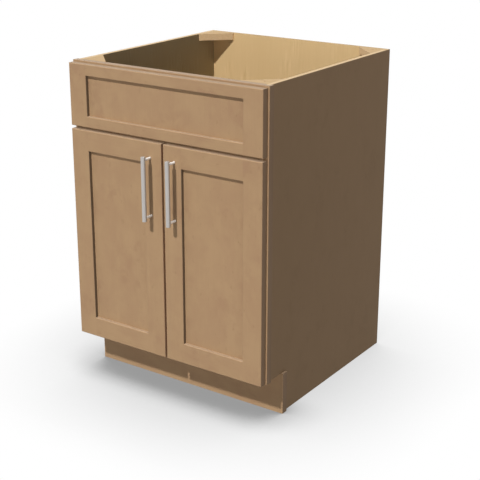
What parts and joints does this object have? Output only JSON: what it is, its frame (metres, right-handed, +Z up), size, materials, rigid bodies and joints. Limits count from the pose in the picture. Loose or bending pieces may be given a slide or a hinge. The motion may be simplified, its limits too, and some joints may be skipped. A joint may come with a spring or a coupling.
{
  "type": "sink base cabinet",
  "caption": "Framed sink base cabinet with a recessed toe kick, a fixed false front above a pair of flat-panel doors with bar pulls, and an open braced top for a bowl.",
  "frame": {"origin": "on the floor, under the middle of the whole cabinet's width and depth, pulls included", "axes": "+X to the cabinet's right as seen from the front, +Y from the doors to the back, +Z up"},
  "size_m": [0.6096, 0.6646, 0.8763],
  "materials": {
    "stained_maple": "stained, satin lacquer",
    "stained_veneer_ply": "plywood, stained veneer outside and clear veneer inside",
    "clear_maple": "clear lacquered plywood",
    "satin_nickel": "satin",
    "polished_nickel": "polished",
    "nickel_steel": "nickel plated",
    "zinc_steel": "zinc plated",
    "pale_plastic": "soft"
  },
  "bodies": {
    "carcass": {"toe_kick_board": "stained_maple", "top_frame_rail": "stained_maple", "middle_frame_rail": "stained_maple", "bottom_frame_rail": "stained_maple", "false_front_top_rail": "stained_maple", "false_front_bottom_rail": "stained_maple", "false_front_panel": "stained_maple", "bottom_panel": "clear_maple", "back_panel": "clear_maple", "false_front_screws": "zinc_steel", "false_front_spacers": "pale_plastic", "left_side_panel": "stained_veneer_ply", "left_frame_stile": "stained_maple", "left_front_brace": "clear_maple", "left_back_brace": "clear_maple", "left_false_front_stile": "stained_maple", "left_hinge_arms": "nickel_steel", "left_arm_pins": "nickel_steel", "left_arm_screws": "zinc_steel", "right_side_panel": "stained_veneer_ply", "right_frame_stile": "stained_maple", "right_front_brace": "clear_maple", "right_back_brace": "clear_maple", "right_false_front_stile": "stained_maple", "right_hinge_arms": "nickel_steel", "right_arm_pins": "nickel_steel", "right_arm_screws": "zinc_steel"},
    "left_hinge_links": {"left_hinge_links": "nickel_steel"},
    "left_door": {"left_door_hinge_stile": "stained_maple", "left_door_meeting_stile": "stained_maple", "left_door_top_rail": "stained_maple", "left_door_bottom_rail": "stained_maple", "left_door_panel": "stained_maple", "left_pull_bar": "satin_nickel", "left_pull_posts": "polished_nickel", "left_pull_screws": "zinc_steel", "left_bumpers": "pale_plastic", "left_hinge_cups": "nickel_steel", "left_cup_pins": "nickel_steel", "left_cup_screws": "zinc_steel"},
    "right_hinge_links": {"right_hinge_links": "nickel_steel"},
    "right_door": {"right_door_hinge_stile": "stained_maple", "right_door_meeting_stile": "stained_maple", "right_door_top_rail": "stained_maple", "right_door_bottom_rail": "stained_maple", "right_door_panel": "stained_maple", "right_pull_bar": "satin_nickel", "right_pull_posts": "polished_nickel", "right_pull_screws": "zinc_steel", "right_bumpers": "pale_plastic", "right_hinge_cups": "nickel_steel", "right_cup_pins": "nickel_steel", "right_cup_screws": "zinc_steel"}
  },
  "joints": [
    {"name": "left_link_pivot", "type": "hinge", "parent": "carcass", "child": "left_hinge_links", "pos_m": [-0.2728, -0.28427, 0.4068], "axis": [0, 0, 1], "range_deg": [0, 73.5]},
    {"name": "left_door_hinge", "type": "hinge", "parent": "left_hinge_links", "child": "left_door", "pos_m": [-0.2906, -0.28277, 0.4068], "axis": [0, 0, -1], "range_deg": [0, 178.5]},
    {"name": "right_link_pivot", "type": "hinge", "parent": "carcass", "child": "right_hinge_links", "pos_m": [0.2728, -0.28427, 0.4068], "axis": [0, 0, -1], "range_deg": [0, 73.5]},
    {"name": "right_door_hinge", "type": "hinge", "parent": "right_hinge_links", "child": "right_door", "pos_m": [0.2906, -0.28277, 0.4068], "axis": [0, 0, 1], "range_deg": [0, 178.5]}
  ],
  "couplings": [
    {"joint": "left_link_pivot", "follows": "left_door_hinge", "ratio": 0.41176},
    {"joint": "right_link_pivot", "follows": "right_door_hinge", "ratio": 0.41176}
  ]
}
